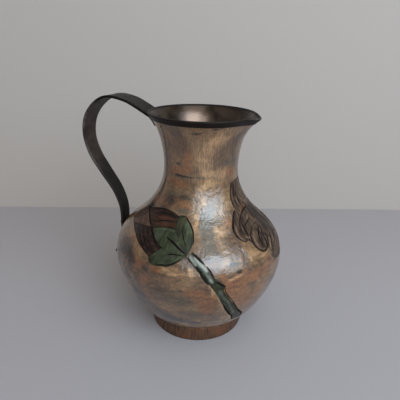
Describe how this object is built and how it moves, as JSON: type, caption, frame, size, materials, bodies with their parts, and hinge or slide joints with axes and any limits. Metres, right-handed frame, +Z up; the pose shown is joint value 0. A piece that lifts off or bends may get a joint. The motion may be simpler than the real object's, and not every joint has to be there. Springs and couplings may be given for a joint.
{
  "type": "engraved brass jug",
  "caption": "Round-bellied brass pouring jug with flared mouth, small lip, foot ring, strap handle and engraved, enamelled flowers.",
  "frame": {"origin": "middle of the jug's bounding box in plan, on the plane that the foot ring stands on; the jug's own axis is the line x = 12.41 mm, y = 0", "axes": "+Z up along the jug's axis, +X towards the pouring lip, so the strap handle is on the -X side"},
  "size_m": [0.1216, 0.0968, 0.1335],
  "materials": {
    "lacquered_brass": "mottled gold, brown and grey lacquer over brushed brass, glossy",
    "dark_metal": "dark patina, satin",
    "foot_bronze": "brown patina over fine upright hatching, satin",
    "solder": "dulled, satin",
    "leaf_enamel": "dark green enamel, glossy",
    "petal_enamel": "red-brown enamel with engraved streaks, glossy",
    "light_petal_enamel": "light brown enamel, glossy",
    "bloom_enamel": "grey-brown enamel with engraved lines, glossy"
  },
  "bodies": {
    "root": {"bowl": "lacquered_brass", "neck": "lacquered_brass", "rim_band": "dark_metal", "foot_ring": "foot_bronze", "strap_handle": "dark_metal", "upper_solder": "solder", "lower_solder": "solder", "bud_petal_top": "petal_enamel", "bud_petal_light": "light_petal_enamel", "bud_petal_dark": "petal_enamel", "leaf_right": "leaf_enamel", "leaf_middle": "leaf_enamel", "leaf_left": "leaf_enamel", "bud_stem": "leaf_enamel", "bloom_crown": "bloom_enamel", "bloom_heart": "bloom_enamel", "bloom_petal_outer_near": "bloom_enamel", "bloom_petal_outer_far": "bloom_enamel", "bloom_petal_inner_near": "bloom_enamel", "bloom_petal_inner_far": "bloom_enamel", "bloom_petal_loop_near": "bloom_enamel", "bloom_petal_loop_far": "bloom_enamel"}
  },
  "joints": []
}
